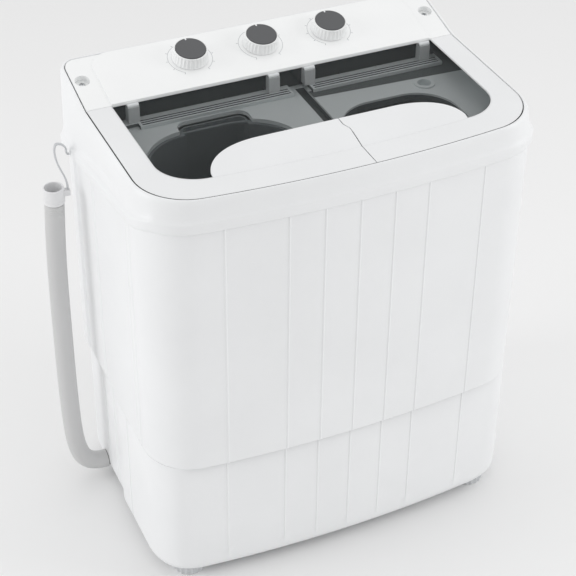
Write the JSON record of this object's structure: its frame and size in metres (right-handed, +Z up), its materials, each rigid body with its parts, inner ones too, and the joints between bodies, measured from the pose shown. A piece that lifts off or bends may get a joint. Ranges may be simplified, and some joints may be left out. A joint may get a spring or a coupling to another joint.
{
  "type": "portable mini washer",
  "caption": "Free-standing twin-tub mini washer: wash tub and spin dryer under two hinged smoked lids, sloped panel with rotary knobs, drain hose clipped up the side.",
  "frame": {"origin": "on the floor, below the middle of the machine's width and depth", "axes": "+X to the machine's right as seen from the front, +Y to the back, +Z up"},
  "size_m": [0.6451, 0.392, 0.7139],
  "materials": {
    "white_shell": "satin white moulding",
    "white_panel": "satin white moulding",
    "light_grey": "light grey moulding",
    "deck_grey": "mid grey moulding",
    "tub_grey": "dark grey polypropylene",
    "smoked_pane": "clear smoked plastic",
    "cap_grey": "dark grey moulding",
    "black_moulding": "matt black",
    "rubber": "matt black rubber",
    "hose_plastic": "flexible grey PVC",
    "steel": "plain steel",
    "motor_steel": "grey motor shell",
    "alloy": "die cast"
  },
  "bodies": {
    "cabinet": {"base_skirt": "white_shell", "base_pan": "light_grey", "foot_front_left": "light_grey", "foot_front_right": "light_grey", "foot_rear_left": "light_grey", "foot_rear_right": "light_grey", "housing": "white_shell", "top_frame": "white_shell", "back_cover": "white_shell", "back_screw_1": "steel", "back_screw_2": "steel", "back_screw_3": "steel", "back_screw_4": "steel", "control_panel": "white_panel", "panel_screw_left": "steel", "panel_screw_right": "steel", "wash_timer_switch": "cap_grey", "wash_selector_switch": "cap_grey", "spin_timer_switch": "cap_grey", "deck": "deck_grey", "wash_hinge_clip_left": "light_grey", "wash_hinge_clip_right": "light_grey", "spin_hinge_clip_left": "light_grey", "spin_hinge_clip_right": "light_grey", "wash_tub": "tub_grey", "overflow_filter": "light_grey", "wash_hub": "alloy", "drive_belt": "rubber", "wash_motor": "motor_steel", "spin_outer_tub": "tub_grey", "spin_boot": "rubber", "spin_motor": "motor_steel", "drain_valve_body": "light_grey", "drain_pipe": "black_moulding", "drain_hose": "hose_plastic", "hose_collar": "light_grey", "hose_strap": "light_grey", "cable_gland": "black_moulding"},
    "wash_lid": {"wash_lid_frame": "white_shell", "wash_lid_pane": "smoked_pane"},
    "spin_lid": {"spin_lid_frame": "white_shell", "spin_lid_pane": "smoked_pane"},
    "wash_timer_dial": {"wash_timer_spindle": "steel", "wash_timer_knob": "white_panel", "wash_timer_cap": "cap_grey"},
    "wash_selector_dial": {"wash_selector_spindle": "steel", "wash_selector_knob": "white_panel", "wash_selector_cap": "cap_grey"},
    "spin_timer_dial": {"spin_timer_spindle": "steel", "spin_timer_knob": "white_panel", "spin_timer_cap": "cap_grey"},
    "agitator": {"pulsator": "light_grey", "wash_shaft": "steel", "wash_pulley": "alloy"},
    "wash_rotor": {"motor_pulley": "alloy"},
    "basket": {"spin_basket": "light_grey", "spin_shaft": "steel", "brake_drum": "alloy"},
    "brake_lever": {"brake_arm": "motor_steel"},
    "drain_plug": {"drain_plunger": "rubber"}
  },
  "joints": [
    {"name": "wash_lid_hinge", "type": "hinge", "parent": "cabinet", "child": "wash_lid", "pos_m": [-0.1115, 0.08, 0.67265], "axis": [-1, 0, 0], "range_deg": [0, 105]},
    {"name": "spin_lid_hinge", "type": "hinge", "parent": "cabinet", "child": "spin_lid", "pos_m": [0.14, 0.08, 0.67265], "axis": [-1, 0, 0], "range_deg": [0, 105]},
    {"name": "wash_timer_turn", "type": "hinge", "parent": "cabinet", "child": "wash_timer_dial", "pos_m": [-0.1078, 0.1422, 0.68987], "axis": [0, 0.2345, -0.9721], "range_deg": [0, 300]},
    {"name": "wash_selector_turn", "type": "hinge", "parent": "cabinet", "child": "wash_selector_dial", "pos_m": [0, 0.1422, 0.68987], "axis": [0, 0.2345, -0.9721], "range_deg": [0, 90]},
    {"name": "spin_timer_turn", "type": "hinge", "parent": "cabinet", "child": "spin_timer_dial", "pos_m": [0.1078, 0.1422, 0.68987], "axis": [0, 0.2345, -0.9721], "range_deg": [0, 300]},
    {"name": "agitator_spin", "type": "hinge", "parent": "cabinet", "child": "agitator", "pos_m": [-0.1265, -0.065, 0.1], "axis": [0, 0, 1], "continuous": true},
    {"name": "wash_rotor_spin", "type": "hinge", "parent": "cabinet", "child": "wash_rotor", "pos_m": [-0.112, 0.112, 0.064], "axis": [0, 0, 1], "continuous": true},
    {"name": "basket_spin", "type": "hinge", "parent": "cabinet", "child": "basket", "pos_m": [0.1315, -0.082, 0.3], "axis": [0, 0, 1], "continuous": true},
    {"name": "brake_swing", "type": "hinge", "parent": "cabinet", "child": "brake_lever", "pos_m": [0.2055, -0.076, 0.158], "axis": [0, 0, 1], "range_deg": [-3.1, 0]},
    {"name": "drain_plug_lift", "type": "slide", "parent": "cabinet", "child": "drain_plug", "axis": [0, 0, 1], "range_m": [0, 0.01]}
  ],
  "couplings": [
    {"joint": "wash_rotor_spin", "follows": "agitator_spin", "ratio": 4},
    {"joint": "brake_swing", "follows": "spin_lid_hinge", "ratio": -0.029429},
    {"joint": "drain_plug_lift", "follows": "wash_selector_turn", "m_per_rad": 0.00636}
  ]
}
